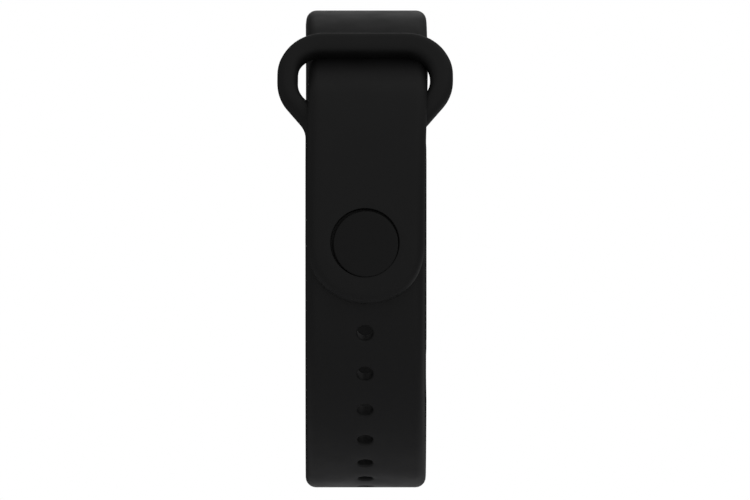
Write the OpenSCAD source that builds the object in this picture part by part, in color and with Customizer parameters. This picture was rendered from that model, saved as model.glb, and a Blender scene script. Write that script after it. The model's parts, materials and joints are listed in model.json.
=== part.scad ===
// Fitness tracker band: a slim pod with a display, held in a soft strap that closes
// through a keeper loop and is locked by a stud in a row of holes.
// X runs across the strap, the clasp faces -Y, the display faces +Y and Z is up.
// The origin is the middle of the wrist opening. Millimetres and degrees.
// Angles are measured upwards from the clasp side, so 0 is -Y, 90 is +Z and 180 is +Y.

/* [Strap] */
// Outer radius of the closed loop on the clasp side
loop_r = 34.7; // [34.3:0.1:35.2]
// Thickness of the strap
strap_t = 2.0; // [1.9:0.05:2.0]
// Width of the strap at the clasp
clasp_w = 16.0; // [15.7:0.1:16.3]
// Width of the strap at the tracker
tracker_w = 18.5; // [18.3:0.1:18.7]
// Distance from the middle of the loop to the strap's flat back
back_y = 23.8; // [23.4:0.1:24.2]
// Radius of the two bends between the round clasp side and the flat back
back_bend_r = 10; // [9:0.5:11]

/* [Clasp] */
// Angle of the stud above the middle of the loop
stud_a = 1.3; // [0.8:0.1:1.8]
// Angle between neighbouring holes
hole_step_a = 10.24; // [10:0.02:10.5]
// Holes above the one that the stud is in
holes_above = 2; // [1:1:2]
// Holes below the one that the stud is in
holes_below = 10; // [8:1:11]
// Radius of a hole
hole_r = 1.1; // [1.08:0.02:1.2]
// Radius of the round cap on the stud
cap_r = 4.4; // [4.2:0.05:4.6]
// How far the tail bends outwards, the stud first
tail_open_a = 60; // [40:5:60]

/* [Keeper loop] */
// Angle at which the flat keeper loop leaves the round strap
keeper_a = 26; // [25.5:0.5:26.5]
// Thickness of the keeper loop
keeper_t = 2.1; // [2.0:0.05:2.1]
// Corner radius of the keeper loop
keeper_corner_r = 6.8; // [6.4:0.1:7]
// Length of the keeper loop from the strap to its top edge
keeper_l = 16.8; // [16.6:0.05:16.9]
// Width of the bar that the tail passes under
bar_w = 3.1; // [2.8:0.1:3.1]

/* [Tracker] */
// Width of the tracker pod
pod_w = 16.0; // [15.8:0.1:16.1]
// Length of the tracker pod
pod_l = 42; // [41:0.5:42.5]

/* [Hidden] */
$fn = 96;

// Strap profile, seen from the side
mid_r = loop_r - strap_t/2;          // middle of the strap's thickness
tail_r = loop_r + strap_t + 0.35;    // outer radius of the tail, which lies over the lower strap
tuck_r = 8;                          // bend that carries the upper strap out over the lower one
tuck_a = 57.5;                       // angle at which the upper strap leaves the circle
tuck_end_a = tuck_a - acos((loop_r - tuck_r)/(tail_r - tuck_r));
back_a = 90 + asin((back_y - back_bend_r)/(loop_r - back_bend_r));
cradle_half = 23.5;                  // the strap and the cradle meet at this height
reach = 60;                          // longer than anything in the part
arc_step = 3;                        // degrees between the points of a bend

// Clasp
hinge_a = stud_a + acos(mid_r/(tail_r - strap_t/2)); // the tail bends here, square to the stud
hinge_gap = 0.05;
knuckle_r = strap_t/2 + 0.05;        // the tail's rounded end, which turns in the upper strap's
tail_end_r = clasp_w/2;
tail_end_drop = 0.5;                 // the tail's round end is centred this far below the stud
cap_top = tail_r - 0.1;              // distances from the middle of the loop
cap_t = 0.85;
cap_edge = 0.15;
cap_groove = 0.2;
shank_r = 1.6;
collar_r = 2.2;
collar_low = loop_r + 0.06;
collar_top = tail_r - strap_t - 0.08;
neck_r = 0.72;
head_r = 0.98;
head_widest = loop_r - strap_t - 0.25;
head_tip = head_widest - 0.5;
hole_lip = 0.3;

// Keeper loop, drawn flat: X across, Y from the strap towards the bar
keeper_corner_x = 5.27;
keeper_side_low = 8.6;
keeper_side_high = keeper_l - keeper_corner_r;
keeper_throat_a = 38;                // where the sides turn in towards the strap
keeper_throat_l = 1.25;
slot_half_l = 4.32;
slot_half_w = 9.15;
slot_corner_r = 3.2;
slot_mid = keeper_l - bar_w - slot_half_l;
edge_step = 0.45;                    // rounded edges are cut as steps of this size

// Cradle, in heights along +Y
cradle_low = back_y - 2.6;
cradle_rim = back_y + 3.6;
cradle_l = 46;
ledge_y = back_y - 0.4;
pocket_gap = 0.1;

// Tracker pod, in depths from its skin side towards the display
pod_y = back_y - 3.3;
plug_w = 13.5;
plug_l = pod_l - 3;
flange_d = ledge_y - pod_y + 0.02;
shell_floor = 1.0;
shell_top = 4.5;
shell_wall = 0.9;
frame_top = 8.1;
frame_wall = 1.0;
shelf_low = 6.5;
shelf_high = 7.0;
gasket_top = 8.25;
glass_top = 9.7;
glass_edge = 0.6;
board_top = 5.2;

// Display: sizes across and along the pod, and where the middle of each piece is
touch_inset = 1.2;
touch_low = 8.0;
touch_top = 8.2;
display_size = [11.8, 24];
display_at = [0, 2];
display_top = 7.9;
flex_w = 5;
flex_t = 0.15;
flex_high = 7.3;                     // undersides of the ribbon's two runs
flex_low = 5.25;
flex_turn = -12.4;                   // where it turns back, and its ends
flex_display_end = -10.05;
flex_board_end = -8.5;

// Electronics
board_gap = 0.15;
chips = [[[4, 4], 5.9, [-2, 6.4]], [[3, 3], 5.8, [2.6, 6.8]],   // size, top and middle of each
         [[2.5, 3], 5.8, [2.6, 2.4]], [[2.4, 2.4], 5.9, [-2.2, 1.4]], [[3, 2], 5.8, [0, 13.2]]];
shield_size = [9.6, 10.4];
shield_at = [0, 4.4];
shield_top = 6.3;
shield_wall = 0.2;
antenna_gap = 0.1;
antenna_w = 1.9;
antenna_top = 7.2;
antenna_end = [20, 8];               // the stretch of the pod's upper end that it fills
antenna_end_at = [0, 19];
battery_size = [10.4, 13.6];
battery_at = [0, -8.2];
battery_low = 1.1;
battery_top = 3.9;
protection_size = [7, 2.6];
protection_at = [0, -12.8];
protection_top = 4.4;

// Vibration motor
motor_z = 13.3;
motor_r = 3.8;
motor_low = 1.05;
motor_high = 3.95;
motor_wall = 0.25;
motor_base_t = 0.3;
motor_shaft_r = 0.4;
motor_bore_r = 0.45;
hub_r = 1.2;
hub_low = 1.6;
hub_top = 3.5;
weight_r = 3.2;
weight_low = 1.8;
weight_top = 3.4;

// Pulse sensor and charging contacts
sensor_z = 4.2;
sensor_hole_r = 3.2;
sensor_board_r = 4.6;
sensor_board_low = 2.5;
sensor_board_top = 3.0;
diode_low = 2.0;
led_size = [1, 1];
led_x = 2;
photodiode_size = [1.6, 1.6];
baffle_r = 4.4;
baffle_slot = [1.9, 4.4];            // over the detector
baffle_window = [1.3, 3];            // over each diode
baffle_window_x = 2.05;
window_r = 3.18;
window_rim = -0.05;
window_tip = -0.25;
window_tip_r = 2.9;
contact_z = -16.6;
contact_x = 2.2;
contact_hole_r = 0.85;
contact_r = 0.83;
contact_low = 0.05;
contact_flange_r = 1.1;
contact_flange_top = 1.3;
spring_w = 1;
spring_half = 0.8;
spring_t = 0.2;

// Direction at an angle, as [y, z]
function dir(a) = [-cos(a), sin(a)];
// Points along an arc round a centre. An arc that carries on from another skips its first point
function arc(centre, r, from_a, to_a, skip = 0) =
    let (steps = ceil(abs(to_a - from_a)/arc_step))
        [for (i = [skip:steps]) centre + r*dir(from_a + (to_a - from_a)*i/steps)];
function backwards(points) = [for (i = [len(points) - 1:-1:0]) points[i]];

// Centre of the two bends beside the flat back, above (side 1) or below (side -1)
function bend_centre(side) = (loop_r - back_bend_r)*[-cos(back_a), side*sin(back_a)];
function tuck_centre() = (tail_r - tuck_r)*dir(tuck_end_a);
function hinge_at() = (tail_r - strap_t/2)*dir(hinge_a);

// Side view of each stretch of strap, at a depth under its outer face
function back_line(depth) = concat(
    arc(bend_centre(-1), back_bend_r - depth, -back_a, -180),
    arc(bend_centre(1), back_bend_r - depth, 180, back_a));
function upper_line(depth) = concat(
    arc(bend_centre(1), back_bend_r - depth, 180, back_a),
    arc([0, 0], loop_r - depth, back_a, tuck_a, 1),
    arc(tuck_centre(), tuck_r - depth, tuck_a, tuck_end_a),
    arc([0, 0], tail_r - depth, tuck_end_a, hinge_a, 1));
function lower_line(depth) = concat(
    arc([0, 0], loop_r - depth, keeper_a, -back_a),
    arc(bend_centre(-1), back_bend_r - depth, -back_a, -180, 1));
function tail_line(depth) = arc([0, 0], tail_r - depth, hinge_a, stud_a - 20);

// A stretch of strap from its outer and inner lines. Its width grows from the clasp to the tracker
module strap(outer, inner) {
    clasp_y = -tail_r;
    intersection() {
        rotate([90, 0, 90])
            translate([0, 0, -tracker_w])
                linear_extrude(2*tracker_w)
                    polygon(concat(outer, backwards(inner)));
        translate([0, 0, -reach])
            linear_extrude(2*reach)
                polygon([[-clasp_w/2, clasp_y - 1], [clasp_w/2, clasp_y - 1],
                         [clasp_w/2, clasp_y], [tracker_w/2, back_y],
                         [tracker_w/2, back_y + 1], [-tracker_w/2, back_y + 1],
                         [-tracker_w/2, back_y], [-clasp_w/2, clasp_y]]);
    }
}

// Leaves only what is above (side 1) or below (side -1) the level where the cradle begins
module beyond_cradle(side)
    difference() {
        children();
        translate([-reach, 0, side > 0 ? -reach : -cradle_half])
            cube([2*reach, reach, reach + cradle_half]);
    }

// A cylinder along the line that the tail bends about
module on_hinge(r, width)
    translate([-width/2, hinge_at()[0], hinge_at()[1]])
        rotate([0, 90, 0])
            cylinder(h = width, r = r);

module on_stud_axis() rotate([90 - stud_a, 0, 0]) children();

module pill(width, length) {
    square([width, length - width], center = true);
    for (end = [-1, 1])
        translate([0, end*(length - width)/2])
            circle(d = width);
}

// A pill-shaped slab between two depths
module slab(width, length, low, high)
    translate([0, 0, low])
        linear_extrude(high - low) pill(width, length);

// A plate, square-cornered, centred on [x, y] between two depths
module plate(size, low, high, at = [0, 0])
    translate([at[0] - size[0]/2, at[1] - size[1]/2, low])
        cube([size[0], size[1], high - low]);

module disc(r, low, high) translate([0, 0, low]) cylinder(h = high - low, r = r);

// Places the tracker's pieces: local Y is up the band and local Z is out towards the display
module in_pod() translate([0, pod_y, 0]) rotate([90, 0, 180]) children();

// ---- Strap: one soft moulding, cut where it bends ----

// Cup round the tracker: a pocket above a ledge and a window to the skin
module strap_cradle() color("#1d1d1f") difference() {
    union() {
        intersection() {
            strap(back_line(0), back_line(strap_t));
            translate([-reach, 0, -cradle_half])
                cube([2*reach, reach, 2*cradle_half]);
        }
        in_pod() slab(tracker_w, cradle_l, cradle_low - pod_y, cradle_rim - pod_y);
    }
    in_pod() {
        slab(pod_w + 2*pocket_gap, pod_l + 2*pocket_gap, ledge_y - pod_y, reach);
        slab(plug_w + 2*pocket_gap, plug_l + 2*pocket_gap, -reach, reach);
    }
}

// The part of the tail that clears the upper strap as the tail bends outwards
module tail_sweep()
    translate([0, hinge_at()[0], hinge_at()[1]])
        rotate([-hinge_a - tail_open_a, 0, 0])
            translate([-reach, -strap_t/2 - hinge_gap, -reach])
                cube([2*reach, strap_t + 2*hinge_gap, reach]);

// From the cradle over the top, under the bar and out over the lower strap
module upper_strap() color("#1d1d1f") difference() {
    beyond_cradle(1) strap(upper_line(0), upper_line(strap_t));
    on_hinge(knuckle_r + hinge_gap, 2*tracker_w);
    tail_sweep();
}

module lower_hole(a)
    rotate([90 - a, 0, 0]) {
        disc(hole_r, loop_r - strap_t - 1, loop_r + 1);
        translate([0, 0, loop_r - hole_lip])
            cylinder(h = 2*hole_lip, r1 = hole_r, r2 = hole_r + 2*hole_lip);
        translate([0, 0, loop_r - strap_t - hole_lip])
            cylinder(h = 2*hole_lip, r1 = hole_r + 2*hole_lip, r2 = hole_r);
    }

// From the keeper loop down under the wrist to the cradle, with the row of holes
module lower_strap() color("#1d1d1f") difference() {
    beyond_cradle(-1) strap(lower_line(0), lower_line(strap_t));
    for (k = [-holes_above:holes_below])
        lower_hole(stud_a - k*hole_step_a);
}

// Flat outline of the keeper loop, drawn in by an inset for its stepped edges
module keeper_outline(inset) {
    r = keeper_corner_r - inset;
    strap_half = clasp_w/2 - inset;
    throat = [keeper_corner_x + r*cos(keeper_throat_a), keeper_side_low - r*sin(keeper_throat_a)];
    difference() {
        union() {
            for (side = [-1, 1])
                for (l = [keeper_side_low, keeper_side_high])
                    translate([side*keeper_corner_x, l])
                        circle(r);
            translate([-keeper_corner_x, keeper_side_low - r])
                square([2*keeper_corner_x, keeper_side_high - keeper_side_low + 2*r]);
            translate([-keeper_corner_x - r, keeper_side_low])
                square([2*(keeper_corner_x + r), keeper_side_high - keeper_side_low]);
            polygon([[-strap_half, 0], [strap_half, 0], [strap_half, keeper_throat_l], throat,
                     [-throat[0], throat[1]], [-strap_half, keeper_throat_l]]);
        }
        keeper_slot(inset);
    }
}

// Opening that the tail passes through, with round corners
module keeper_slot(inset) {
    corner = [slot_half_w - slot_corner_r, slot_half_l - slot_corner_r];
    r = slot_corner_r + inset;
    translate([0, slot_mid]) {
        square(2*[corner[0] + r, corner[1]], center = true);
        square(2*[corner[0], corner[1] + r], center = true);
        for (x = [-1, 1])
            for (l = [-1, 1])
                translate([x*corner[0], l*corner[1]])
                    circle(r);
    }
}

// Wide flat loop at the end of the lower strap
module keeper_loop() color("#1d1d1f")
    translate([0, loop_r*dir(keeper_a)[0], loop_r*dir(keeper_a)[1]])
        rotate([90 - keeper_a, 0, 0]) {
            translate([0, 0, -keeper_t]) linear_extrude(edge_step) keeper_outline(edge_step);
            translate([0, 0, edge_step - keeper_t])
                linear_extrude(keeper_t - 2*edge_step) keeper_outline(0);
            translate([0, 0, -edge_step]) linear_extrude(edge_step) keeper_outline(edge_step);
        }

// ---- Tail and clasp ----

// Free end of the upper strap, with a round end about the stud
module strap_tail() color("#1d1d1f") difference() {
    union() {
        intersection() {
            strap(tail_line(0), tail_line(strap_t));
            union() {
                on_stud_axis()
                    translate([0, -tail_end_drop, 0])
                        disc(tail_end_r, 0, reach);
                rotate([-stud_a, 0, 0])
                    translate([-reach, -reach, -tail_end_drop])
                        cube([2*reach, reach, reach]);
            }
        }
        on_hinge(knuckle_r, clasp_w);
    }
    on_stud_axis() {
        disc(cap_r + cap_groove, cap_top - cap_t, reach);
        disc(shank_r + 0.02, 0, reach);
    }
}

// Round cap on the outside, let into the tail
module clasp_cap() color("#19191b") on_stud_axis() {
    disc(cap_r, cap_top - cap_t, cap_top - cap_edge);
    translate([0, 0, cap_top - cap_edge])
        cylinder(h = cap_edge, r1 = cap_r, r2 = cap_r - cap_edge);
}

// Shank through the tail, collar under it, then a neck and a mushroom head for the hole
module clasp_stud() color("#3a3a3d") on_stud_axis()
    rotate_extrude()
        polygon([[0, head_tip], [head_r*0.6, head_tip + 0.1], [head_r, head_widest],
                 [neck_r, head_widest + 0.3], [neck_r, collar_low], [collar_r, collar_low],
                 [collar_r, collar_top], [shank_r, collar_top],
                 [shank_r, cap_top - cap_t], [0, cap_top - cap_t]]);

// ---- Tracker pod: casing ----

// Casing half against the skin, with a plug that passes through the cradle's window
module pod_rear_shell() color("#2a2a2d") in_pod() difference() {
    union() {
        slab(plug_w, plug_l, 0, flange_d);
        slab(pod_w, pod_l, flange_d, shell_top);
    }
    slab(plug_w - 2*shell_wall, plug_l - 2*shell_wall, shell_floor, reach);
    translate([0, sensor_z, 0]) disc(sensor_hole_r, -1, 2);
    for (side = [-1, 1])
        translate([side*contact_x, contact_z, 0])
            disc(contact_hole_r, -1, 2);
}

// Casing half round the display, with a shelf that carries it
module pod_front_frame() color("#2a2a2d") in_pod() difference() {
    slab(pod_w, pod_l, shell_top, frame_top);
    slab(pod_w - 2*frame_wall, pod_l - 2*frame_wall, shell_top - 1, shelf_low);
    slab(pod_w - 2*frame_wall, pod_l - 2*frame_wall, shelf_high, reach);
    slab(pod_w - 3.2, pod_l - 3.2, 0, reach);
}

// Glass over the display, thinner towards its edge
module cover_glass() color("#101014") in_pod() {
    slab(pod_w, pod_l, gasket_top, glass_top - glass_edge);
    slab(pod_w - glass_edge, pod_l - glass_edge, glass_top - glass_edge, glass_top - glass_edge/2);
    slab(pod_w - 2*glass_edge, pod_l - 2*glass_edge, glass_top - glass_edge/2, glass_top);
}

module glass_gasket() color("#3c3c40") in_pod() difference() {
    slab(pod_w - 0.3, pod_l - 0.3, frame_top, gasket_top);
    slab(pod_w - 2*frame_wall, pod_l - 2*frame_wall, 0, reach);
}

// ---- Tracker pod: display ----

// Clear film under the glass that senses a finger
module touch_film() color("#7d8a94") in_pod()
    slab(pod_w - 2*touch_inset, pod_l - 2*touch_inset, touch_low, touch_top);

module display_panel() color("#15151c") in_pod()
    plate(display_size, shelf_high + 0.02, display_top, display_at);

// Ribbon from the display's lower edge round to the board
module display_flex() color("#c07a2c") in_pod()
    translate([-flex_w/2, 0, 0])
        rotate([90, 0, 90])
            linear_extrude(flex_w)
                polygon([[flex_display_end, flex_high], [flex_display_end, flex_high + flex_t],
                         [flex_turn, flex_high + flex_t], [flex_turn, flex_low],
                         [flex_board_end, flex_low], [flex_board_end, flex_low + flex_t],
                         [flex_turn + flex_t, flex_low + flex_t], [flex_turn + flex_t, flex_high]]);

// ---- Tracker pod: electronics ----

module main_board() color("#1f5a36") in_pod()
    slab(pod_w - 2*(frame_wall + board_gap), pod_l - 2*(frame_wall + board_gap),
         shell_top, board_top);

// Processor, radio, memory and motion sensor on the board
module board_chips() color("#26262a") in_pod()
    for (chip = chips)
        plate(chip[0], board_top, chip[1], chip[2]);

// Folded cover over the radio and processor
module shield_can() color("#b9bcc0") in_pod() difference() {
    plate(shield_size, board_top, shield_top, shield_at);
    plate(shield_size - 2*[shield_wall, shield_wall], board_top - 1, shield_top - shield_wall, shield_at);
}

// Flat antenna at the upper end, above the shelf
module antenna() color("#c98a3a") in_pod() intersection() {
    difference() {
        slab(pod_w - 2*(frame_wall + antenna_gap), pod_l - 2*(frame_wall + antenna_gap),
             shelf_high, antenna_top);
        slab(pod_w - 2*(frame_wall + antenna_gap + antenna_w),
             pod_l - 2*(frame_wall + antenna_gap + antenna_w), 0, reach);
    }
    plate(antenna_end, 0, reach, antenna_end_at);
}

module battery() color("#8f949b") in_pod()
    plate(battery_size, battery_low, battery_top, battery_at);

module battery_protection_board() color("#1f5a36") in_pod()
    plate(protection_size, battery_top, protection_top, protection_at);

// ---- Tracker pod: vibration motor ----

module at_motor() in_pod() translate([0, motor_z, 0]) children();

// Cup over the rotor
module motor_can() color("#b4b7bb") at_motor() difference() {
    disc(motor_r, motor_low + motor_base_t, motor_high);
    disc(motor_r - motor_wall, 0, motor_high - motor_wall);
}

module motor_base() color("#9a9da2") at_motor() disc(motor_r, motor_low, motor_low + motor_base_t);

module motor_shaft() color("#d0d2d5") at_motor()
    disc(motor_shaft_r, motor_low + motor_base_t, motor_high - motor_wall);

// Weight to one side of the shaft, which shakes the pod as it turns
module motor_rotor() color("#6d6f74") at_motor() difference() {
    union() {
        disc(hub_r, hub_low, hub_top);
        intersection() {
            disc(weight_r, weight_low, weight_top);
            plate([2*motor_r, motor_r], 0, reach, [0, motor_r/2]);
        }
    }
    disc(motor_bore_r, 0, reach);
}

// ---- Tracker pod: pulse sensor and charging ----

module at_sensor() in_pod() translate([0, sensor_z, 0]) children();

module sensor_board() color("#1f5a36") at_sensor()
    disc(sensor_board_r, sensor_board_low, sensor_board_top);

module sensor_leds() color("#7fe08a") at_sensor()
    for (side = [-1, 1])
        plate(led_size, diode_low, sensor_board_low, [side*led_x, 0]);

module photodiode() color("#20242c") at_sensor()
    plate(photodiode_size, diode_low, sensor_board_low);

// Ring with two walls that keeps the light of the diodes off the detector
module sensor_baffle() color("#161618") at_sensor() difference() {
    disc(baffle_r, shell_floor + 0.02, sensor_board_low);
    plate(baffle_slot, 0, reach);
    for (side = [-1, 1])
        plate(baffle_window, 0, reach, [side*baffle_window_x, 0]);
}

// Clear dome-edged window that stands a little proud of the skin side
module sensor_window() color("#22262e") at_sensor() {
    disc(window_r, window_rim, shell_floor);
    translate([0, 0, window_tip])
        cylinder(h = window_rim - window_tip, r1 = window_tip_r, r2 = window_r);
}

module charging_contacts() color("#cfae5e") in_pod()
    for (side = [-1, 1])
        translate([side*contact_x, contact_z, 0]) {
            disc(contact_r, contact_low, shell_floor);
            disc(contact_flange_r, shell_floor, contact_flange_top);
        }

// Side view of a spring: two flat ends and the slanting leaf between them
function spring_line() =
    let (low = contact_flange_top, high = shell_top, lean = spring_half/2)
        [[-spring_half, low], [spring_half, low], [spring_half, low + spring_t],
         [-lean, low + spring_t], [spring_half, high - spring_t], [spring_half, high],
         [-spring_half, high], [-spring_half, high - spring_t], [lean, high - spring_t],
         [-spring_half, low + spring_t]];

// Leaf springs from the contacts to the board
module contact_springs() color("#c9a95a") in_pod()
    for (side = [-1, 1])
        translate([side*contact_x - spring_w/2, contact_z, 0])
            rotate([90, 0, 90])
                linear_extrude(spring_w)
                    polygon(spring_line());

strap_cradle();
upper_strap();
lower_strap();
keeper_loop();
strap_tail();
clasp_cap();
clasp_stud();
pod_rear_shell();
pod_front_frame();
cover_glass();
glass_gasket();
touch_film();
display_panel();
display_flex();
main_board();
board_chips();
shield_can();
antenna();
battery();
battery_protection_board();
motor_can();
motor_base();
motor_shaft();
motor_rotor();
sensor_board();
sensor_leds();
photodiode();
sensor_baffle();
sensor_window();
charging_contacts();
contact_springs();
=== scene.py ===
"""The looks of a fitness tracker band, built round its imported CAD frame."""
import json
import math
import bpy
import bmesh
import numpy as np
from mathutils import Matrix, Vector
from mathutils.geometry import delaunay_2d_cdt


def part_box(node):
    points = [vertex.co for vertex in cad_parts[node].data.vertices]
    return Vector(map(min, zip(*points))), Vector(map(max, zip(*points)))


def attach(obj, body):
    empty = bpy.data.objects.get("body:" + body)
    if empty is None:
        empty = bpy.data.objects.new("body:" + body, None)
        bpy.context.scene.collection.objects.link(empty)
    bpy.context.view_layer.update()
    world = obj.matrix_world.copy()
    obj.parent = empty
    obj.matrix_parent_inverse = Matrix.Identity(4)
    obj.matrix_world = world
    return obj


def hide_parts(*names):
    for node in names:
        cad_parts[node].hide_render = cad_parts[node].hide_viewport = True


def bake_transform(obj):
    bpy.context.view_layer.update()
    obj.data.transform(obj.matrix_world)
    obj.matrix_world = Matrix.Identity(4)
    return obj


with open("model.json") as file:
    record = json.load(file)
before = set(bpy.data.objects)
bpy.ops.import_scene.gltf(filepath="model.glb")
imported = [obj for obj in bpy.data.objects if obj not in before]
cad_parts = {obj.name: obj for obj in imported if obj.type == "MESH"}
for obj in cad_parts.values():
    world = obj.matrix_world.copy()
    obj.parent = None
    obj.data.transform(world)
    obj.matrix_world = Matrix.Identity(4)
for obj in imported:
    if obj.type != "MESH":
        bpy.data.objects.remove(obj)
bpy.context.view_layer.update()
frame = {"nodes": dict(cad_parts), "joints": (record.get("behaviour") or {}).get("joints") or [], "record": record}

MM = 0.001

# ---- Set: the camera in millimetres, the lights and the floor in metres ----

CAMERA_X, CAMERA_Z = 1.35, -0.16
CAMERA_TO_TAIL = 400.8  # from the camera to the tail's outer face
CAMERA_SENSOR, CAMERA_LENS = 36, 144
# The light tent's brightness is a sum. Each entry is an axis, the part of it over which the
# brightness changes, and the two values
SKY = [("Y", 0.3, 0.95, (0.34, 0.10)), ("X", -0.1, -0.6, (0.0, -0.15)),
       ("X", 0.05, 0.45, (0.0, 0.04)), ("X", 0.45, 0.95, (0.0, -0.2))]
# Each soft light's name, place, width and height, and radiance
LIGHTS = [("back_top", (0, 1.0, 0.36), (0.4, 0.6), 0.9),
          ("back_low", (0, 1.0, -0.3), (0.4, 0.45), 0.7),
          ("right_low", (0.19, 0.14, -0.1), (0.06, 0.06), 1.3)]
FLOOR_R, FLOOR_Z, FLOOR_GLOW = 0.25, -0.16, 0.9

# ---- Surfaces ----

STRAP_DARK, STRAP_LIGHT, STRAP_SPECULAR = 0.0085, 0.0115, 0.4
MOTTLE = 220  # slow changes of shade, in waves per metre
GRAIN_DEPTH = 0.00002  # in metres

# ---- Sizes, in millimetres and degrees. Angles are measured upwards from the clasp side ----

JOINT = {j["name"]: j for j in frame["joints"]}
MOUNT = {m["name"]: m for m in frame["record"]["mounts"]}


def node_box(node):
    """Lowest and highest corner of a CAD node, in millimetres."""
    low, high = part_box(node)
    return np.array(low) / MM, np.array(high) / MM


STRAP_T = 2.0
CLASP_W = 16.0
BACK_BEND_R = 10.0  # bends between the round clasp side and the flat back
TUCK_R = 8.0  # bend that carries the upper strap out over the lower one
TUCK_A = 57.5  # where the upper strap leaves the circle
OUTER_EDGE_R = 1.5  # how far the strap's edges are rounded, outside and inside
INNER_EDGE_R = 0.45
ACROSS_POINTS = 24  # points along a square-cut end

# Tail. Its end is a little fuller on the right, where FULL is the power of its outline
TAIL_END_L = 8.54
TAIL_END_ROUND, TAIL_END_FULL = 2.0, 2.25
TAIL_BEND = (3.0, -6.8)  # the bend's start and end, measured from the hinge along the tail
STRAP_LEAN, LEAN_PEAK_S = 0.39, 30.0  # how far the upper strap leans sideways, and where
CAP_SHIFT = (0.14, -0.19)
CAP_GROOVE = 0.2
CAP_EDGE = 0.18

# Keeper loop and holes
KEEPER_A = 26.0  # where the flat loop leaves the round strap
KEEPER_L = 16.8
LOOP_EDGE = 0.78  # the loop's edges are rounded by this part of the strap's
BAR_EXTRA, BAR_S = 0.27, (-11.0, -13.0)  # how much thicker the bar is, and where that grows
HOLE_STEP_A = 10.24
HOLES_ABOVE, HOLES_BELOW = 2, 10
HOLE_R = 1.05
HOLE_LIP, HOLE_BACK_LIP = 0.34, 0.25

# Read from the CAD
LOOP_R = -node_box("lower_strap")[0][2]
TAIL_R = -node_box("strap_tail")[0][1]
TRACKER_W = node_box("strap_cradle")[1][0] * 2
POD_Y = MOUNT["skin_face"]["pos_m"][1] / MM
BACK_Y = POD_Y + 3.3  # the strap's flat back
CUT_Z = node_box("strap_cradle")[1][2]
HINGE = np.array(JOINT["tail_bend"]["pos_m"][1:]) / MM
CAP_MID = (node_box("clasp_cap")[0] + node_box("clasp_cap")[1]) / 2
STUD_A = math.degrees(math.atan2(CAP_MID[2], -CAP_MID[1]))
HINGE_A = math.degrees(math.atan2(HINGE[1], -HINGE[0]))
CAP_R = node_box("clasp_cap")[1][0]
POD_W, _, POD_L = node_box("cover_glass")[1] - node_box("cover_glass")[0]
SENSOR_Z = (node_box("sensor_window")[0][2] + node_box("sensor_window")[1][2]) / 2
CONTACT_Z = (node_box("charging_contacts")[0][2] + node_box("charging_contacts")[1][2]) / 2
CONTACT_X = node_box("charging_contacts")[1][0] - 1.1
BACK_A = 90 + math.degrees(math.asin((BACK_Y - BACK_BEND_R) / (LOOP_R - BACK_BEND_R)))
TUCK_END_A = TUCK_A - math.degrees(math.acos((LOOP_R - TUCK_R) / (TAIL_R - TUCK_R)))


def toward(angle):
    """Unit vector at an angle, as (y, z)."""
    a = math.radians(angle)
    return np.array([-math.cos(a), math.sin(a)])


# ---- The strap's side view, as paths of arcs and straight runs ----


class Path:
    """A chain of arcs and straight runs in (y, z), measured along its outer face."""

    def __init__(self, start=0.0):
        self.s, self.runs = start, []

    def arc(self, centre, r, a0, a1):
        length = math.radians(abs(a1 - a0)) * r
        self.runs.append(("arc", self.s, self.s + length, np.array(centre), r, a0, a1))
        self.s += length
        return self

    def line(self, p0, p1, angle):
        length = float(np.linalg.norm(np.array(p1) - np.array(p0)))
        self.runs.append(("line", self.s, self.s + length, np.array(p0), np.array(p1), angle, 0))
        self.s += length
        return self

    def at(self, s):
        """The point on the outer face and the outward normal there."""
        run = next((r for r in self.runs if s <= r[2]), self.runs[-1])
        t = (s - run[1]) / (run[2] - run[1])
        if run[0] == "arc":
            normal = toward(run[5] + (run[6] - run[5]) * t)
            return run[3] + run[4] * normal, normal
        return run[3] + (run[4] - run[3]) * t, toward(run[5])

    def height_at(self, s):
        return self.at(s)[0][1]

    def find(self, test, low, high):
        """The length along the path, between low and high, at which test changes."""
        first = test(low)
        for _ in range(40):
            mid = (low + high) / 2
            low, high = (mid, high) if test(mid) == first else (low, mid)
        return (low + high) / 2


def bend_centre(side):
    """Middle of the bend at the top of the flat back, or at its bottom where side is -1."""
    return (LOOP_R - BACK_BEND_R) * np.array([-math.cos(math.radians(BACK_A)),
                                              side * math.sin(math.radians(BACK_A))])


def upper_path():
    """From the tip of the tail to the middle of the back. 0 is at the stud."""
    before = 20
    tuck = (TAIL_R - TUCK_R) * toward(TUCK_END_A)
    path = Path(-math.radians(before) * TAIL_R)
    path.arc((0, 0), TAIL_R, STUD_A - before, TUCK_END_A)
    path.arc(tuck, TUCK_R, TUCK_END_A, TUCK_A)
    path.line(tuck + TUCK_R * toward(TUCK_A), LOOP_R * toward(TUCK_A), TUCK_A)
    path.arc((0, 0), LOOP_R, TUCK_A, BACK_A)
    path.arc(bend_centre(1), BACK_BEND_R, BACK_A, 180)
    return path.line((BACK_Y, bend_centre(1)[1]), (BACK_Y, 0), 180)


def lower_path():
    """From the top of the keeper loop down and round to the middle of the back. 0 is where the
    flat loop meets the round strap."""
    reach = 20
    root = LOOP_R * toward(KEEPER_A)
    along = np.array([math.sin(math.radians(KEEPER_A)), math.cos(math.radians(KEEPER_A))])
    path = Path(-reach)
    path.line(root + reach * along, root, KEEPER_A)
    path.arc((0, 0), LOOP_R, KEEPER_A, -BACK_A)
    path.arc(bend_centre(-1), BACK_BEND_R, -BACK_A, -180)
    return path.line((BACK_Y, -bend_centre(1)[1]), (BACK_Y, 0), -180)


UPPER, LOWER = upper_path(), lower_path()


def unit(value):
    """A number kept between 0 and 1."""
    return max(0.0, min(1.0, value))


def strap_half(y):
    """Half the strap's width, which grows steadily from the clasp to the tracker."""
    t = (y + TAIL_R) / (BACK_Y + TAIL_R)
    return (CLASP_W + (TRACKER_W - CLASP_W) * unit(t)) / 2


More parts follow.
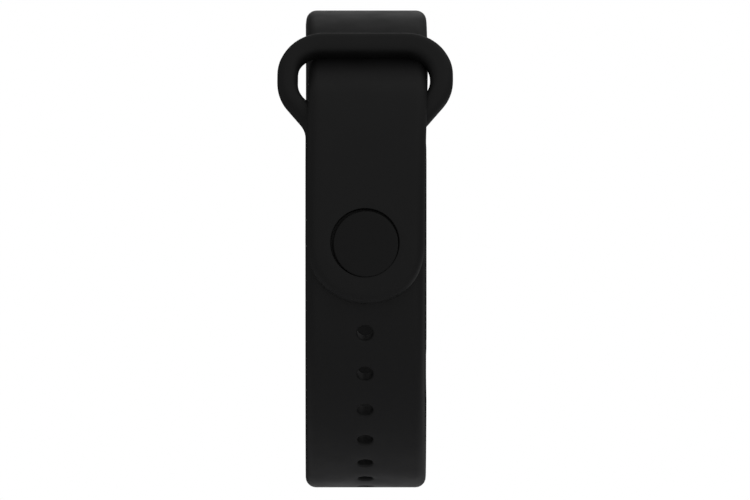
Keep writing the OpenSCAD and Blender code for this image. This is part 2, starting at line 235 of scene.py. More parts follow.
def on_path(path, lean=0.0, bar=0.0):
    """A function that puts a point of the flat pattern, at a depth, in its place in space. The
    free part may lean sideways, and the keeper's bar is thicker than the strap."""
    def place(u, s, n):
        point, normal = path.at(s)
        thicker = bar * unit((BAR_S[0] - s) / (BAR_S[0] - BAR_S[1]))
        y, z = point + n * (1 + thicker) * normal
        t = unit(s / LEAN_PEAK_S)
        beyond = max(0.0, s - LEAN_PEAK_S) / LEAN_PEAK_S
        return (u + lean * t * t * (3 - 2 * t) * max(0.0, 1 - beyond), y, z)
    return place


# ---- Meshes ----


def make_object(name, verts, faces, material, sharp=40):
    """A closed mesh from points in millimetres, smooth apart from edges sharper than an angle."""
    bm = bmesh.new()
    made = [bm.verts.new((x * MM, y * MM, z * MM)) for x, y, z in verts]
    for face in faces:
        bm.faces.new([made[i] for i in face])
    bmesh.ops.remove_doubles(bm, verts=bm.verts, dist=0.002 * MM)
    bmesh.ops.recalc_face_normals(bm, faces=bm.faces)
    mesh = bpy.data.meshes.new(name)
    bm.to_mesh(mesh)
    bm.free()
    mesh.polygons.foreach_set("use_smooth", [True] * len(mesh.polygons))
    mesh.set_sharp_from_angle(angle=math.radians(sharp))
    mesh.materials.append(material)
    thing = bpy.data.objects.new(name, mesh)
    bpy.context.scene.collection.objects.link(thing)
    return thing


def joined(name, things):
    """Several pieces of one material as one object."""
    bm = bmesh.new()
    for thing in things:
        bm.from_mesh(thing.data)
    bm.to_mesh(things[0].data)
    bm.free()
    for thing in things[1:]:
        bpy.data.objects.remove(thing)
    things[0].name = name
    return things[0]


def inside(points, loops):
    """Which points lie inside the first loop and outside the others."""
    result = np.zeros(len(points), bool)
    for loop in loops:
        for p0, p1 in zip(loop, np.roll(loop, -1, 0)):
            if p0[1] == p1[1]:
                continue
            crosses = (p0[1] > points[:, 1]) != (p1[1] > points[:, 1])
            x = p0[0] + (points[:, 1] - p0[1]) * (p1[0] - p0[0]) / (p1[1] - p0[1])
            result ^= crosses & (points[:, 0] < x)
    return result


def hex_grid(low, high, gap):
    """Evenly spread points over a rectangle."""
    rows = np.arange(low[1], high[1], gap * 0.866)
    return np.array([(x + (gap / 2 if i % 2 else 0), y)
                     for i, y in enumerate(rows) for x in np.arange(low[0], high[0], gap)])


def fill(loops, gap):
    """Triangles over the area between an outline and its holes. Gives points and triangles, the
    loops' points first."""
    edges, start = [], 0
    for loop in loops:
        n = len(loop)
        edges += [(start + i, start + (i + 1) % n) for i in range(n)]
        start += n
    rim = np.concatenate(loops)
    grid = hex_grid(rim.min(0), rim.max(0), gap)
    grid = grid[inside(grid, loops)]
    keep = [np.min(np.sum((rim - p) ** 2, 1)) > (0.55 * gap) ** 2 for p in grid]
    points = np.concatenate([rim, grid[np.array(keep, bool)]]) if len(grid) else rim
    _, _, tris, origin, _, _ = delaunay_2d_cdt([Vector(p) for p in points], edges, [], 0, 1e-7)
    back = [o[0] for o in origin]
    tris = np.array([[back[i] for i in t] for t in tris])
    return points, tris[inside(points[tris].mean(1), loops)]


class Rim:
    """A closed edge of a flat pattern, which runs down a profile from the top face to the bottom
    one. The profile is a list of (how far in, depth). Where scale is 0 the edge is cut square."""

    def __init__(self, points, profile, scale=None):
        self.points = np.array(points, float)
        along = np.roll(self.points, -1, 0) - np.roll(self.points, 1, 0)
        along /= np.linalg.norm(along, axis=1)[:, None]
        self.inward = np.stack([-along[:, 1], along[:, 0]], 1)
        self.profile = profile
        self.scale = np.ones(len(self.points)) if scale is None else scale

    def rings(self):
        half, floor = len(self.profile) / 2, self.profile[-1][1]
        for k, (d, n) in enumerate(self.profile):
            square = 0.0 if k < half else floor
            yield (self.points + d * self.scale[:, None] * self.inward,
                   square + (n - square) * self.scale)


class Stack:
    """A closed edge given directly, as flat outlines at depths."""

    def __init__(self, outlines):
        self.outlines = outlines

    def rings(self):
        for points, depth in self.outlines:
            yield points, np.full(len(points), float(depth))


def rimmed(name, rims, place, material, gap=0.9, caps=True, sharp=40):
    """A body whose edges run from its top face to its bottom one, put in place point by point.
    The first rim is its outline and the others are its holes."""
    verts, faces, ends = [], [], ([], [])

    def add(points, depths):
        first = len(verts)
        verts.extend(place(p[0], p[1], n) for p, n in zip(points, depths))
        return np.arange(first, first + len(points))

    for rim in rims:
        rings = list(rim.rings())
        lines = [add(*ring) for ring in rings]
        for a, b in zip(lines, lines[1:]):
            c, d = np.roll(a, -1), np.roll(b, -1)
            faces += [tuple(int(v) for v in q) for q in zip(a, c, d, b)]
        for side, k in ((0, 0), (1, -1)):
            ends[side].append((lines[k], *rings[k]))
    for end in ends if caps else ():
        points, tris = fill([e[1] for e in end], gap)
        known = np.concatenate([e[0] for e in end])
        extra = points[len(known):]
        index = np.concatenate([known, add(extra, [end[0][2][0]] * len(extra))])
        faces += [tuple(int(index[i]) for i in t) for t in tris]
    return make_object(name, verts, faces, material, sharp)


def lathe(name, profile, place, material, count=96):
    """A round body from its profile, a list of (radius, height), closed at both ends."""
    verts = [place(r * math.cos(a), r * math.sin(a), h) for r, h in profile
             for a in np.linspace(0, 2 * math.pi, count, endpoint=False)]
    faces = [tuple(range(count)), tuple(range(len(verts) - count, len(verts)))]
    for k in range(len(profile) - 1):
        for i in range(count):
            j = (i + 1) % count
            faces.append((k * count + i, k * count + j, (k + 1) * count + j, (k + 1) * count + i))
    return make_object(name, verts, faces, material, sharp=35)


def quarter(centre, size, a0, a1, steps=5):
    """Points along part of an ellipse, as (radius or inset, depth)."""
    return [(centre[0] + size[0] * math.cos(math.radians(a)),
             centre[1] + size[1] * math.sin(math.radians(a)))
            for a in np.linspace(a0, a1, steps + 1)]


def rounded_edge(top_r, bottom_r, steps=6):
    """Profile of the strap's rounded edge from its top face to its bottom one."""
    return (quarter((top_r, -top_r), (top_r, top_r), 90, 180, steps)
            + quarter((bottom_r, bottom_r - STRAP_T), (bottom_r, bottom_r), 180, 270, steps))


def along_corners(corners, gap=0.45):
    """A closed line through corners given as (u, s, radius), with rounded corners."""
    n, line = len(corners), []
    for i, (x, y, r) in enumerate(corners):
        p = np.array([x, y], float)
        a = np.array(corners[i - 1][:2], float) - p
        b = np.array(corners[(i + 1) % n][:2], float) - p
        a, b = a / np.linalg.norm(a), b / np.linalg.norm(b)
        if r <= 0:
            line.append(p)
            continue
        half = math.acos(max(-1.0, min(1.0, float(a @ b)))) / 2
        centre = p + (a + b) / np.linalg.norm(a + b) * r / math.sin(half)
        reach = r / math.tan(half)
        start, end = p + a * reach - centre, p + b * reach - centre
        turn = math.atan2(start[0] * end[1] - start[1] * end[0], float(start @ end))
        for t in np.linspace(0, turn, max(3, int(abs(turn) * r / gap)) + 1):
            c, s = math.cos(t), math.sin(t)
            line.append(centre + np.array([c * start[0] - s * start[1],
                                           s * start[0] + c * start[1]]))
    return evenly(np.array(line), gap)


def evenly(line, gap):
    """A closed line's points with long straight runs split up."""
    out = []
    for p, q in zip(line, np.roll(line, -1, 0)):
        steps = max(1, int(round(np.linalg.norm(q - p) / gap)))
        out += [p + (q - p) * i / steps for i in range(steps)]
    return np.array(out)


def circle(centre, r, count=48):
    """Points round a hole, in the order that has the material on the left."""
    a = -np.linspace(0, 2 * math.pi, count, endpoint=False)
    return np.stack([centre[0] + r * np.cos(a), centre[1] + r * np.sin(a)], 1)


def pill(width, length, count=28, hole=False):
    """A pill outline. Every pill has the same number of points, in the same places."""
    r, half = width / 2, (length - width) / 2
    side = np.linspace(-half, half, 40)[1:-1]
    a = np.linspace(0, math.pi, count)
    line = ([(r * math.cos(t), half + r * math.sin(t)) for t in a]
            + [(-r, -s) for s in side]
            + [(-r * math.cos(t), -half - r * math.sin(t)) for t in a]
            + [(r, s) for s in side])
    return np.array(line[::-1] if hole else line)


def pills(rings, hole=False):
    """A stack of pill outlines from (width, length, depth)."""
    return Stack([(pill(w, l, hole=hole), depth) for w, l, depth in rings])


# ---- Strap ----


def side_edge(path, s0, s1, side, gap=0.5):
    """Points down one long edge of the strap, from s0 to s1."""
    count = max(2, int(abs(s1 - s0) / gap))
    return [(side * strap_half(path.at(s)[0][0]), s) for s in np.linspace(s0, s1, count + 1)]


def strap_rim(shaped, start_s, path, cut_s):
    """The strap's outline: a shaped end, two long edges, and a square-cut end. Each shaped point
    also says how far its edge is rounded."""
    half = strap_half(path.at(cut_s)[0][0]) - OUTER_EDGE_R
    across = [(u, cut_s) for u in np.linspace(half, -half, ACROSS_POINTS)]
    right = side_edge(path, start_s, cut_s, 1)[1:]
    left = side_edge(path, cut_s, start_s, -1)[:-1]
    points = [p[:2] for p in shaped] + right + across + left
    scale = np.concatenate([[p[2] for p in shaped], np.ones(len(right)), np.zeros(len(across)),
                            np.ones(len(left))])
    rim = Rim(points, rounded_edge(OUTER_EDGE_R, INNER_EDGE_R), scale)
    corner = len(shaped) + len(right)
    rim.inward[corner - 1] = (-1, 0)
    rim.inward[corner + len(across)] = (1, 0)
    return rim


def hole_rim(s):
    """One of the row of holes, with softened edges."""
    return Rim(circle((0, s), HOLE_R), rounded_edge(HOLE_LIP, HOLE_BACK_LIP))


def tail_end(a):
    """A point of the tail's round end, which is a little fuller on its right side."""
    right = a > math.pi / 2
    power = 2 / (TAIL_END_FULL if right else TAIL_END_ROUND)
    u = abs(math.cos(a)) ** power * CLASP_W / 2
    return (u if right else -u, -TAIL_END_L * math.sin(a) ** power, 1.0)


def make_upper_strap(material):
    """Upper strap and tail in one piece. The tail has a recess for the round cap and a hole for the stud's shank."""
    cut_s = UPPER.find(lambda s: UPPER.height_at(s) > CUT_Z, UPPER.runs[3][2], UPPER.runs[-1][2])
    tip = [tail_end(a) for a in np.linspace(0, math.pi, 57)]
    recess_r, floor, shank_r, lip = CAP_R + CAP_GROOVE, -0.98, 1.62, 0.12
    recess = quarter((lip, -lip), (lip, lip), 90, 180, 3)
    recess += [(0, floor), (shank_r - recess_r, floor), (shank_r - recess_r, -STRAP_T)]
    rims = [strap_rim(tip, 0.0, UPPER, cut_s), Rim(circle((0, 0), recess_r, 96), recess)]
    return rimmed("strap_with_tail", rims, on_path(UPPER, lean=STRAP_LEAN), material)


def keeper_end(low):
    """The keeper loop's outline above a level on the strap, from its left side to its right, with
    how far its edges are rounded. Its corners are (across, along, radius)."""
    half = node_box("keeper_loop")[1][0]
    w = strap_half(LOWER.at(0)[0][0])
    foot = strap_half(LOWER.at(low)[0][0])
    corners = [(-foot, low, 0), (-w, -1.7, 3.5), (-half, -6.8, 6.8), (-half, -KEEPER_L, 6.4),
               (half, -KEEPER_L, 6.4), (half, -7.15, 6.8), (w, -2.05, 1.0), (foot, low, 0)]
    line = along_corners(corners)
    last = int(np.argmin(np.linalg.norm(line - (foot, low), axis=1)))
    line = line[:last + 1]
    root = 6.0  # over this length the edges change from the loop's rounding to the strap's
    fade = np.clip((line[:, 1] + root) / root, 0, 1)
    return np.column_stack([line, LOOP_EDGE + (1 - LOOP_EDGE) * fade])


def make_lower_strap(material):
    """Lower strap with its row of holes and the keeper loop at its end."""
    low = 3.0
    cut_s = LOWER.find(lambda s: LOWER.height_at(s) < -CUT_Z, LOWER.runs[1][2], LOWER.runs[-1][2])
    rim = strap_rim(keeper_end(low), low, LOWER, cut_s)
    left, right, top, bottom = -9.22, 8.9, -13.4, -5.1
    slot = Rim(along_corners([(right, bottom - 0.5, 3.8), (right, top, 3.8),
                              (left, top, 3.1), (left, bottom, 3.6)]),
               rounded_edge(OUTER_EDGE_R * LOOP_EDGE, INNER_EDGE_R * LOOP_EDGE))
    holes = [hole_rim(math.radians(KEEPER_A - (STUD_A - k * HOLE_STEP_A)) * LOOP_R)
             for k in range(-HOLES_ABOVE, HOLES_BELOW + 1)]
    return rimmed("strap_with_keeper", [rim, slot, *holes], on_path(LOWER, bar=BAR_EXTRA), material)


def on_back(u, s, n):
    """The strap's own mapping over the flat back, where s is the height up the band."""
    reach = bend_centre(1)[1]
    side = 1 if s > 0 else -1
    turn = max(0.0, abs(s) - reach) / BACK_BEND_R
    normal = np.array([math.cos(turn), side * math.sin(turn)])
    centre = bend_centre(side) if turn else np.array([BACK_Y - BACK_BEND_R, s])
    y, z = centre + (BACK_BEND_R + n) * normal
    return (u, y, z)


def make_back_plate(material):
    """The stretch of strap that carries the tracker's cup."""
    reach = bend_centre(1)[1]
    end = reach + BACK_BEND_R * math.asin((CUT_Z - reach) / BACK_BEND_R)
    half, hidden, fade = strap_half(on_back(0, end, 0)[1]), 0.05, 4
    wall_half, under_wall = 14.5, 0.28  # beside the cup's wall the edge is less rounded
    heights = np.linspace(-end, end, 95)
    inset = hidden * np.clip((end - np.abs(heights)) / fade, 0, 1)
    right = [(half - i, s) for i, s in zip(inset, heights)]
    flat = half - OUTER_EDGE_R
    across = [(u, end) for u in np.linspace(flat, -flat, ACROSS_POINTS)]
    points = right + across + [(-u, -s) for u, s in right] + [(-u, -s) for u, s in across]
    beyond = np.clip((np.abs(heights) - wall_half) / fade, 0, 1)
    edges = under_wall + (1 - under_wall) * beyond
    scale = np.tile(np.concatenate([edges, np.zeros(len(across))]), 2)
    rim = Rim(points, rounded_edge(OUTER_EDGE_R, INNER_EDGE_R), scale)
    for corner, way in ((0, -1), (len(right) - 1, -1), (len(right) + len(across), 1),
                        (2 * len(right) + len(across) - 1, 1)):
        rim.inward[corner] = (way, 0)
    hole_w, hole_l = 16.9, 43.6
    hole = pills([(hole_w, hole_l, 0), (hole_w, hole_l, -STRAP_T)], hole=True)
    return rimmed("strap_back", [rim, hole], on_back, material)


def in_pod(u, s, depth):
    """Places the tracker's pieces. Depth runs from the skin side out to the display."""
    return (-u, POD_Y + depth, s)


def make_cup(material):
    """The soft cup that grips the tracker, with a window to the skin and a fillet down onto the
    strap at each end. Its rings are (width, length, depth)."""
    w = TRACKER_W
    rings = [(13.7, 39.2, 2.9), (13.7, 39.2, 1.15), (13.8, 39.3, 0.93), (14.05, 39.55, 0.77),
             (14.5, 40.0, 0.7), (w - 2.0, 44.0, 0.7), (w - 1.1, 44.9, 0.74), (w - 0.5, 45.5, 0.88),
             (w - 0.13, 45.87, 1.1), (w, 46.0, 1.4), (w, 46.0, 2.2), (w, 49.2, 2.25),
             (w, 48.5, 2.57), (w, 47.8, 2.86), (w, 47.2, 3.2), (w, 46.7, 3.62), (w, 46.3, 4.15),
             (w, 46.08, 4.8), (w, 46.0, 5.5), (w, 46.0, 6.1), (w - 0.07, 45.93, 6.42),
             (w - 0.3, 45.7, 6.68), (w - 0.66, 45.34, 6.85), (w - 1.1, 44.9, 6.9),
             (17.0, 43.2, 6.9), (16.6, 42.6, 6.86), (16.32, 42.32, 6.74), (16.2, 42.2, 6.5),
             (16.2, 42.2, 2.9), (13.7, 39.2, 2.9)]
    return rimmed("tracker_cup", [pills(rings)], in_pod, material, caps=False)


# ---- Clasp ----


def on_stud(shift=(0.0, 0.0)):
    """Places round pieces on the stud's axis. Height runs out from the middle of the loop."""
    out = toward(STUD_A)
    up = np.array([out[1], -out[0]])

    def place(u, s, h):
        y, z = h * out + (s + shift[1]) * up
        return (u + shift[0], y, z)
    return place


def make_cap(material):
    """The round cap. It sits a hair off the middle of its recess, as pressed-in caps do."""
    top, thick = TAIL_R - 0.1, 0.85
    profile = [(CAP_R - 0.1, top - thick), (CAP_R, top - thick + 0.1)]
    profile += quarter((CAP_R - CAP_EDGE, top - CAP_EDGE), (CAP_EDGE, CAP_EDGE), 0, 90, 5)
    profile += [(CAP_R - 0.8, top), (1.5, top)]
    return lathe("stud_cap", profile, on_stud(CAP_SHIFT), material)


def make_stud(material):
    """Shank, collar, neck and mushroom head."""
    low, high = LOOP_R + 0.06, TAIL_R - STRAP_T - 0.08
    widest, neck, head = LOOP_R - STRAP_T - 0.25, 0.72, 0.98
    profile = quarter((0, widest), (head, 0.5), -88, 0, 7)
    profile += quarter((neck + 0.14, widest + 0.28), (0.14, 0.12), 270, 180, 3)
    profile += [(neck, low), (2.05, low), (2.2, low + 0.1), (2.2, high - 0.02), (1.6, high),
                (1.6, TAIL_R - 0.96), (0.2, TAIL_R - 0.96)]
    return lathe("stud_post", profile, on_stud(), material, 48)


# ---- Tracker pod ----


def make_rear_shell(material):
    """The casing half against the skin: a thin tray with a plug that passes through the cup."""
    w, l, floor = POD_W, POD_L, 1.0
    pw, pl, seat = 13.5, POD_L - 3, 2.92
    rings = [(pw - 2 * d, pl - 2 * d, n) for d, n in quarter((0.6, 0.6), (0.6, 0.6), 270, 180, 6)]
    rings += [(pw, pl, seat), (w - 0.3, l - 0.3, seat), (w - 0.08, l - 0.08, seat + 0.06),
              (w, l, seat + 0.2), (w, l, 4.38), (w - 0.12, l - 0.12, 4.48), (w - 2, l - 2, 4.5),
              (w - 2, l - 2, seat + 0.9), (pw - 1.8, pl - 1.8, seat), (pw - 1.8, pl - 1.8, floor)]
    hole = [(0.06, 0.0), (0.0, 0.06), (0.0, floor)]
    rims = [pills(rings), Rim(circle((0, SENSOR_Z), 3.22, 64), hole)]
    rims += [Rim(circle((side * CONTACT_X, CONTACT_Z), 0.88, 40), hole) for side in (-1, 1)]
    return rimmed("pod_rear", rims, in_pod, material, gap=1.2, sharp=30)


def make_front_frame(material):
    """The casing half round the display, with a fine parting line under it."""
    w, l = POD_W, POD_L
    rings = [(w - 2, l - 2, 4.5), (w - 0.2, l - 0.2, 4.5), (w - 0.2, l - 0.2, 4.56),
             (w - 0.06, l - 0.06, 4.6), (w, l, 4.7), (w, l, 7.9), (w - 0.06, l - 0.06, 8.03),
             (w - 0.22, l - 0.22, 8.1), (w - 2, l - 2, 8.1), (w - 2, l - 2, 7.0),
             (w - 3.2, l - 3.2, 7.0), (w - 3.2, l - 3.2, 6.5), (w - 2, l - 2, 6.5),
             (w - 2, l - 2, 4.5)]
    return rimmed("pod_frame", [pills(rings)], in_pod, material, caps=False, sharp=30)


def make_glass(material):
    """Cover glass whose edge curves down to the casing all round."""
    w, l = POD_W, POD_L
    rings = [(w - 0.25, l - 0.25, 8.25), (w - 0.06, l - 0.06, 8.29), (w, l, 8.4), (w, l, 8.75)]
    rings += [(w - 2 * d, l - 2 * d, n)
              for d, n in quarter((1.7, 8.75), (1.7, 0.95), 180, 90, 12)[1:]]
    return rimmed("pod_glass", [pills(rings)], in_pod, material, gap=1.5, sharp=30)


def at_pod(x, z):
    """Places round pieces on the tracker's skin side."""
    return lambda u, s, depth: (x - u, POD_Y + depth, z + s)


def make_window(material):
    """The low dome over the pulse sensor."""
    profile = [(3.18, 1.0), (3.18, 0.05)] + quarter((2.58, 0.05), (0.6, 0.3), 0, -90, 7)
    return lathe("sensor_dome", profile + [(0.3, -0.25)], at_pod(0, SENSOR_Z), material, 64)


def make_contacts(material):
    """The two round charging contacts."""
    profile = [(0.3, 1.3), (1.1, 1.3), (1.1, 1.0), (0.83, 1.0), (0.83, 0.17)]
    profile += quarter((0.71, 0.17), (0.12, 0.12), 0, -90, 4) + [(0.1, 0.05)]
    pads = [lathe("pad", profile, at_pod(side * CONTACT_X, CONTACT_Z), material, 40)
            for side in (-1, 1)]
    return joined("contact_pads", pads)


# ---- Materials ----


def new_material(name):
    """A material with its nodes, links and main shader."""
    material = bpy.data.materials.new(name)
    material.use_nodes = True
    nodes, links = material.node_tree.nodes, material.node_tree.links
    return material, nodes, links, nodes["Principled BSDF"]


def noise(nodes, links, scale, detail):
    """Noise in object space, in waves per metre."""
    where, texture = nodes.new("ShaderNodeTexCoord"), nodes.new("ShaderNodeTexNoise")
    texture.inputs["Scale"].default_value = scale
    texture.inputs["Detail"].default_value = detail
    links.new(where.outputs["Object"], texture.inputs["Vector"])
    return texture.outputs["Fac"]


def spread(nodes, links, value, low, high):
    """Noise turned into a range of numbers."""
    node = nodes.new("ShaderNodeMapRange")
    node.inputs["From Min"].default_value = 0.3
    node.inputs["From Max"].default_value = 0.7
    node.inputs["To Min"].default_value = low
    node.inputs["To Max"].default_value = high
    links.new(value, node.inputs["Value"])
    return node.outputs["Result"]


def shades(nodes, links, value, dark, light, ends=(0.3, 0.7)):
    """Noise turned into a colour between two."""
    node = nodes.new("ShaderNodeValToRGB")
    for element, at, colour in zip(node.color_ramp.elements, ends, (dark, light)):
        element.position = at
        element.color = (*colour, 1)
    links.new(value, node.inputs["Fac"])
    return node.outputs["Color"]


def bump(nodes, links, height, strength):
    """Noise turned into a fine grain."""
    node = nodes.new("ShaderNodeBump")
    node.inputs["Strength"].default_value = strength
    node.inputs["Distance"].default_value = GRAIN_DEPTH
    links.new(height, node.inputs["Height"])
    return node.outputs["Normal"]


def grained(name, dark, light, rough, grain, bump_by=0.2, metallic=0.0, specular=0.5,
            coat=0.0):
    """A surface with a slow change of shade and roughness, and a fine grain."""
    material, nodes, links, shader = new_material(name)
    slow = noise(nodes, links, MOTTLE, 4)
    fine = noise(nodes, links, grain, 2)
    links.new(shades(nodes, links, slow, dark, light), shader.inputs["Base Color"])
    links.new(spread(nodes, links, slow, rough[0], rough[1]), shader.inputs["Roughness"])
    links.new(bump(nodes, links, fine, bump_by), shader.inputs["Normal"])
    shader.inputs["Metallic"].default_value = metallic
    shader.inputs["Specular IOR Level"].default_value = specular
    shader.inputs["Coat Weight"].default_value = coat
    return material


def grey(value):
    """A grey with a trace of blue."""
    return (value, value, value * 1.02)


def glass_material():
    """Black glass. The display under it is a shade lighter than its border, even when it's off."""
    material, nodes, links, shader = new_material("black_cover_glass")
    where, split = nodes.new("ShaderNodeTexCoord"), nodes.new("ShaderNodeSeparateXYZ")
    links.new(where.outputs["Object"], split.inputs[0])
    low, high = node_box("display_panel")
    border, fade = 0.5, 0.1
    insides = []
    for axis in ("X", "Z"):
        k = "XYZ".index(axis)
        away = nodes.new("ShaderNodeMath")
        away.operation = "SUBTRACT"
        away.inputs[1].default_value = (low[k] + high[k]) / 2 * MM
        size = nodes.new("ShaderNodeMath")
        size.operation = "ABSOLUTE"
        test = nodes.new("ShaderNodeMapRange")
        edge = ((high[k] - low[k]) / 2 - border) * MM
        test.inputs["From Min"].default_value = edge
        test.inputs["From Max"].default_value = edge + fade * MM
        test.inputs["To Min"].default_value = 1
        test.inputs["To Max"].default_value = 0
        links.new(split.outputs[axis], away.inputs[0])
        links.new(away.outputs[0], size.inputs[0])
        links.new(size.outputs[0], test.inputs["Value"])
        insides.append(test.outputs["Result"])
    both = nodes.new("ShaderNodeMath")
    both.operation = "MULTIPLY"
    links.new(insides[0], both.inputs[0])
    links.new(insides[1], both.inputs[1])
    links.new(shades(nodes, links, both.outputs[0], grey(0.0035), (0.008, 0.009, 0.011), (0, 1)),
              shader.inputs["Base Color"])
    smear = noise(nodes, links, 160, 5)
    links.new(spread(nodes, links, smear, 0.04, 0.09), shader.inputs["Roughness"])
    shader.inputs["Coat Weight"].default_value = 0.6
    shader.inputs["Coat Roughness"].default_value = 0.03
    return material


def window_material():
    """Dark tinted plastic over the pulse sensor."""
    material, nodes, links, shader = new_material("tinted_window")
    slow = noise(nodes, links, 300, 3)
    links.new(shades(nodes, links, slow, (0.10, 0.11, 0.13), (0.14, 0.15, 0.17)),
              shader.inputs["Base Color"])
    links.new(spread(nodes, links, slow, 0.03, 0.08), shader.inputs["Roughness"])
    shader.inputs["Transmission Weight"].default_value = 0.85
    shader.inputs["IOR"].default_value = 1.45
    return material


def led_material():
    """Clear green epoxy."""
    material, nodes, links, shader = new_material("green_leds")
    slow = noise(nodes, links, 4000, 2)
    links.new(shades(nodes, links, slow, (0.25, 0.55, 0.25), (0.4, 0.75, 0.35)),
              shader.inputs["Base Color"])
    links.new(spread(nodes, links, slow, 0.2, 0.35), shader.inputs["Roughness"])
    return material


def make_materials():
    """Each material slot's own surface."""
    return {
        "strap": grained("black_elastomer", grey(STRAP_DARK), grey(STRAP_LIGHT), (0.52, 0.62),
                         9000, bump_by=0.35, specular=STRAP_SPECULAR),
        "clasp_cap": grained("black_cap", grey(0.0065), grey(0.0078), (0.46, 0.54), 7000,
                             bump_by=0.25, specular=0.33),
        "stud": grained("dark_steel", grey(0.09), grey(0.14), (0.25, 0.38), 4000, 0.1,
                        metallic=1.0),
        "pod_shell": grained("black_casing", grey(0.006), grey(0.009), (0.44, 0.54), 7000, 0.15,
                             specular=0.35),
        "cover_glass": glass_material(),
        "gasket": grained("black_adhesive", grey(0.006), grey(0.010), (0.7, 0.8), 5000),
        "film": grained("touch_film", (0.16, 0.18, 0.20), (0.2, 0.22, 0.24), (0.15, 0.25), 3000,
                        0.05),
        "display": grained("display_off", (0.006, 0.006, 0.008), (0.009, 0.009, 0.012),
                           (0.15, 0.22), 3000, 0.05),
        "flex": grained("amber_flex", (0.42, 0.16, 0.02), (0.55, 0.24, 0.04), (0.25, 0.4), 2500),
        "circuit_board": grained("solder_mask", (0.01, 0.09, 0.035), (0.016, 0.13, 0.05),
                                 (0.3, 0.45), 3500, coat=0.3),
        "chips": grained("chip_resin", grey(0.015), grey(0.025), (0.5, 0.65), 6000),
        "shield": grained("tinned_cover", grey(0.5), grey(0.62), (0.28, 0.42), 3000,
                          metallic=1.0),
        "battery": grained("pouch_foil", grey(0.42), grey(0.55), (0.3, 0.45), 1500, 0.4,
                           metallic=0.8),
        "motor_steel": grained("motor_steel", grey(0.45), grey(0.58), (0.2, 0.34), 4000, 0.1,
                               metallic=1.0),
        "rotor": grained("tungsten", grey(0.2), grey(0.28), (0.35, 0.5), 3000, metallic=1.0),
        "leds": led_material(),
        "sensor_window": window_material(),
        "contacts": grained("gold_plate", (0.78, 0.52, 0.22), (0.88, 0.62, 0.28), (0.18, 0.3),
                            5000, 0.08, metallic=1.0),
    }


# ---- Set ----


def place_camera():
    """A long lens, level with the middle of the band, facing the clasp."""
    data = bpy.data.cameras.new("camera")
    camera = bpy.data.objects.new("camera", data)
    bpy.context.scene.collection.objects.link(camera)
    camera.location = Vector((CAMERA_X, -(CAMERA_TO_TAIL + TAIL_R), CAMERA_Z)) * MM
    camera.rotation_euler = (math.radians(90), 0, 0)
    data.sensor_width = CAMERA_SENSOR
    data.lens = CAMERA_LENS
    data.clip_start, data.clip_end = 0.02, 20
    bpy.context.scene.camera = camera


def sky_value(nodes, links, split, axis, low, high, ends):
    """Brightness that changes with one part of a direction, from one value to another."""
    node = nodes.new("ShaderNodeMapRange")
    node.interpolation_type = "SMOOTHSTEP"
    node.inputs["From Min"].default_value = low
    node.inputs["From Max"].default_value = high
    node.inputs["To Min"].default_value = ends[0]
    node.inputs["To Max"].default_value = ends[1]
    links.new(split.outputs[axis], node.inputs["Value"])
    return node.outputs["Result"]


def light_set():
    """A soft light tent, white where the camera sees it."""
    world = bpy.data.worlds.new("studio")
    bpy.context.scene.world = world
    world.use_nodes = True
    nodes, links = world.node_tree.nodes, world.node_tree.links
    nodes.clear()
    where, split = nodes.new("ShaderNodeTexCoord"), nodes.new("ShaderNodeSeparateXYZ")
    links.new(where.outputs["Generated"], split.inputs[0])
    parts = [sky_value(nodes, links, split, *part) for part in SKY]
    total = parts[0]
    for part in parts[1:]:
        add = nodes.new("ShaderNodeMath")
        links.new(total, add.inputs[0])
        links.new(part, add.inputs[1])
        total = add.outputs[0]
    soft, seen = nodes.new("ShaderNodeBackground"), nodes.new("ShaderNodeBackground")
    path, mix = nodes.new("ShaderNodeLightPath"), nodes.new("ShaderNodeMixShader")
    out = nodes.new("ShaderNodeOutputWorld")
    links.new(total, soft.inputs["Strength"])
    seen.inputs["Color"].default_value = (1, 1, 1, 1)
    soft.inputs["Color"].default_value = (1, 1, 1, 1)
    links.new(path.outputs["Is Camera Ray"], mix.inputs["Fac"])
    links.new(soft.outputs[0], mix.inputs[1])
    links.new(seen.outputs[0], mix.inputs[2])
    links.new(mix.outputs[0], out.inputs[0])
    bpy.context.scene.view_settings.view_transform = "Standard"


def add_light(name, location, size, radiance):
    """A rectangular soft light that faces the band."""
    data = bpy.data.lights.new(name, "AREA")
    data.shape = "RECTANGLE"
    data.size, data.size_y = size
    data.energy = radiance * math.pi * size[0] * size[1]
    light = bpy.data.objects.new(name, data)
    bpy.context.scene.collection.objects.link(light)
    light.location = location
    light.rotation_euler = (-Vector(location)).to_track_quat("-Z", "Y").to_euler()


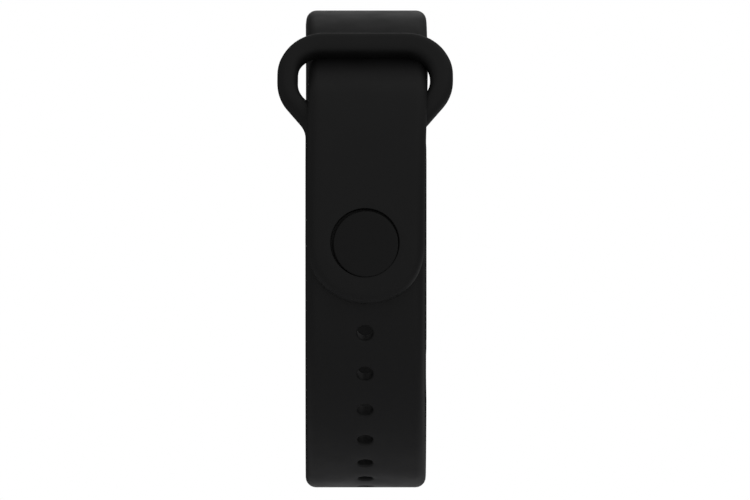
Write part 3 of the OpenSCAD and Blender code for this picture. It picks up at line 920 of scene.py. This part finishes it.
def make_floor():
    """A plain pale floor, well below the band and bright enough to read as white."""
    bm = bmesh.new()
    bmesh.ops.create_circle(bm, cap_ends=True, segments=96, radius=FLOOR_R)
    mesh = bpy.data.meshes.new("floor")
    bm.to_mesh(mesh)
    bm.free()
    floor = bpy.data.objects.new("floor", mesh)
    bpy.context.scene.collection.objects.link(floor)
    floor.location = (0, 0, FLOOR_Z)
    material, nodes, links, shader = new_material("pale_floor")
    slow = noise(nodes, links, 3, 2)
    links.new(shades(nodes, links, slow, grey(0.84), grey(0.88)), shader.inputs["Base Color"])
    shader.inputs["Roughness"].default_value = 0.8
    shader.inputs["Emission Color"].default_value = (1, 1, 1, 1)
    path, glow = nodes.new("ShaderNodeLightPath"), nodes.new("ShaderNodeMapRange")
    glow.inputs["To Min"].default_value = 0.0
    glow.inputs["To Max"].default_value = FLOOR_GLOW
    links.new(path.outputs["Is Camera Ray"], glow.inputs["Value"])
    links.new(glow.outputs["Result"], shader.inputs["Emission Strength"])
    mesh.materials.append(material)


# ---- Assembly ----


def use(piece, body, slot, *nodes):
    """A rigid piece that stands for CAD nodes."""
    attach(piece, body)
    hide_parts(*nodes)


def dress_cad_nodes(surfaces):
    """Gives every CAD node the surface of its material slot."""
    slot_of = {p["node"]: p["material_slot"] for p in frame["record"]["subparts"]}
    for name, node in frame["nodes"].items():
        for holder in node.material_slots:
            holder.material = surfaces[slot_of[name]]


def add_upper_strap(material):
    """The upper strap and tail as one piece, curving from the band to the tail past the hinge. The points at which
    it would bend round the hinge are found but not used.
    """
    upper = make_upper_strap(material)
    hinge_s = math.radians(HINGE_A - STUD_A) * TAIL_R
    start, end = [UPPER.at(hinge_s + d)[0] * MM for d in TAIL_BEND]
    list(start)
    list(end)
    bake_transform(upper)
    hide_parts("upper_strap", "strap_tail")


def build():
    """The set, the surfaces, and every visible piece."""
    place_camera()
    light_set()
    for light in LIGHTS:
        add_light(*light)
    make_floor()
    surfaces = make_materials()
    dress_cad_nodes(surfaces)
    strap = surfaces["strap"]
    add_upper_strap(strap)
    use(make_lower_strap(strap), "band", "strap", "lower_strap", "keeper_loop")
    back = make_back_plate(strap)
    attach(back, "band")
    use(make_cup(strap), "band", "strap", "strap_cradle")
    use(make_cap(surfaces["clasp_cap"]), "tail", "clasp_cap", "clasp_cap")
    use(make_stud(surfaces["stud"]), "tail", "stud", "clasp_stud")
    use(make_rear_shell(surfaces["pod_shell"]), "pod", "pod_shell", "pod_rear_shell")
    use(make_front_frame(surfaces["pod_shell"]), "pod", "pod_shell", "pod_front_frame")
    use(make_glass(surfaces["cover_glass"]), "pod", "cover_glass", "cover_glass")
    use(make_window(surfaces["sensor_window"]), "pod", "sensor_window", "sensor_window")
    use(make_contacts(surfaces["contacts"]), "pod", "contacts", "charging_contacts")


build()
